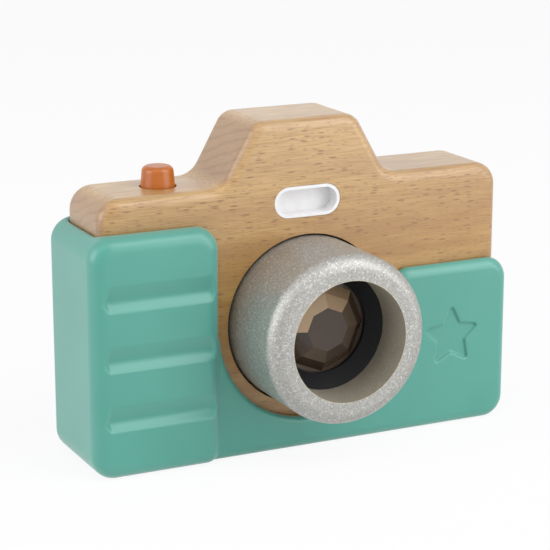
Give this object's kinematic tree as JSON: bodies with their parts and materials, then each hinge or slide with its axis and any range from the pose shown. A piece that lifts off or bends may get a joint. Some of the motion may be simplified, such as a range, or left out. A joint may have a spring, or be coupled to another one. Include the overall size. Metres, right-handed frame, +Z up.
{
  "type": "toy camera",
  "caption": "Wooden toy camera in a soft sleeve with a ribbed finger grip, a turning lens barrel with a faceted lens, a sprung shutter button and a flash lamp.",
  "frame": {"origin": "on the table under the lens axis, in the middle of the wooden body's depth", "axes": "+X to the right seen from the front, -Y the way the lens looks, +Z up from the table"},
  "size_m": [0.13, 0.0541, 0.0935],
  "materials": {
    "beech": "waxed beech with short dark flecks",
    "silicone": "soft matte silicone",
    "silver_paint": "silver paint with fine sparkle over turned wood",
    "smoked_lens": "polished smoky brown acrylic",
    "black_plastic": "fine matte",
    "screw_steel": "zinc-plated",
    "clear_window": "polished clear acrylic",
    "orange_paint": "satin",
    "white_plastic": "fine matte",
    "board_green": "solder mask",
    "foam": "closed-cell foam tape",
    "flash_white": "translucent satin",
    "lamp_clear": "clear epoxy",
    "wire_red": "insulated wire",
    "cell_steel": "plated cell case",
    "contact_brass": "plated strip",
    "speaker_film": "thin film"
  },
  "bodies": {
    "camera_body": {"wooden_body": "beech", "silicone_sleeve": "silicone", "return_spring": "screw_steel", "shutter_switch": "black_plastic", "circuit_board": "board_green", "board_pad": "foam", "sound_chip": "black_plastic", "board_screws": "screw_steel", "flash_window": "flash_white", "flash_led": "lamp_clear", "led_board": "board_green", "led_leads": "wire_red", "flash_cover": "white_plastic", "flash_cover_screws": "screw_steel", "battery_holder": "black_plastic", "battery_cells": "cell_steel", "battery_contacts": "contact_brass", "speaker": "black_plastic", "speaker_cone": "speaker_film", "speaker_leads": "wire_red", "back_cover": "white_plastic", "back_cover_screws": "screw_steel"},
    "lens_barrel": {"barrel_shell": "silver_paint", "faceted_lens": "smoked_lens", "lens_spacer": "black_plastic", "barrel_base": "black_plastic", "barrel_screws": "screw_steel", "eyepiece_ring": "black_plastic", "eyepiece_window": "clear_window"},
    "shutter": {"shutter_button": "orange_paint", "button_stem": "white_plastic", "switch_plunger": "white_plastic"},
    "door": {"battery_door": "white_plastic", "door_screw": "screw_steel"}
  },
  "joints": [
    {"name": "lens_turn", "type": "hinge", "parent": "camera_body", "child": "lens_barrel", "pos_m": [0, 0, 0.03665], "axis": [0, 1, 0], "continuous": true},
    {"name": "shutter_press", "type": "slide", "parent": "camera_body", "child": "shutter", "axis": [0, 0, -1], "range_m": [0, 0.0025], "stiffness_N_per_m": 600, "springref_m": -0.001, "deforming": ["return_spring"]},
    {"name": "battery_door_lift", "type": "slide", "parent": "camera_body", "child": "door", "axis": [0, 1, 0], "range_m": [0, 0.03]}
  ]
}
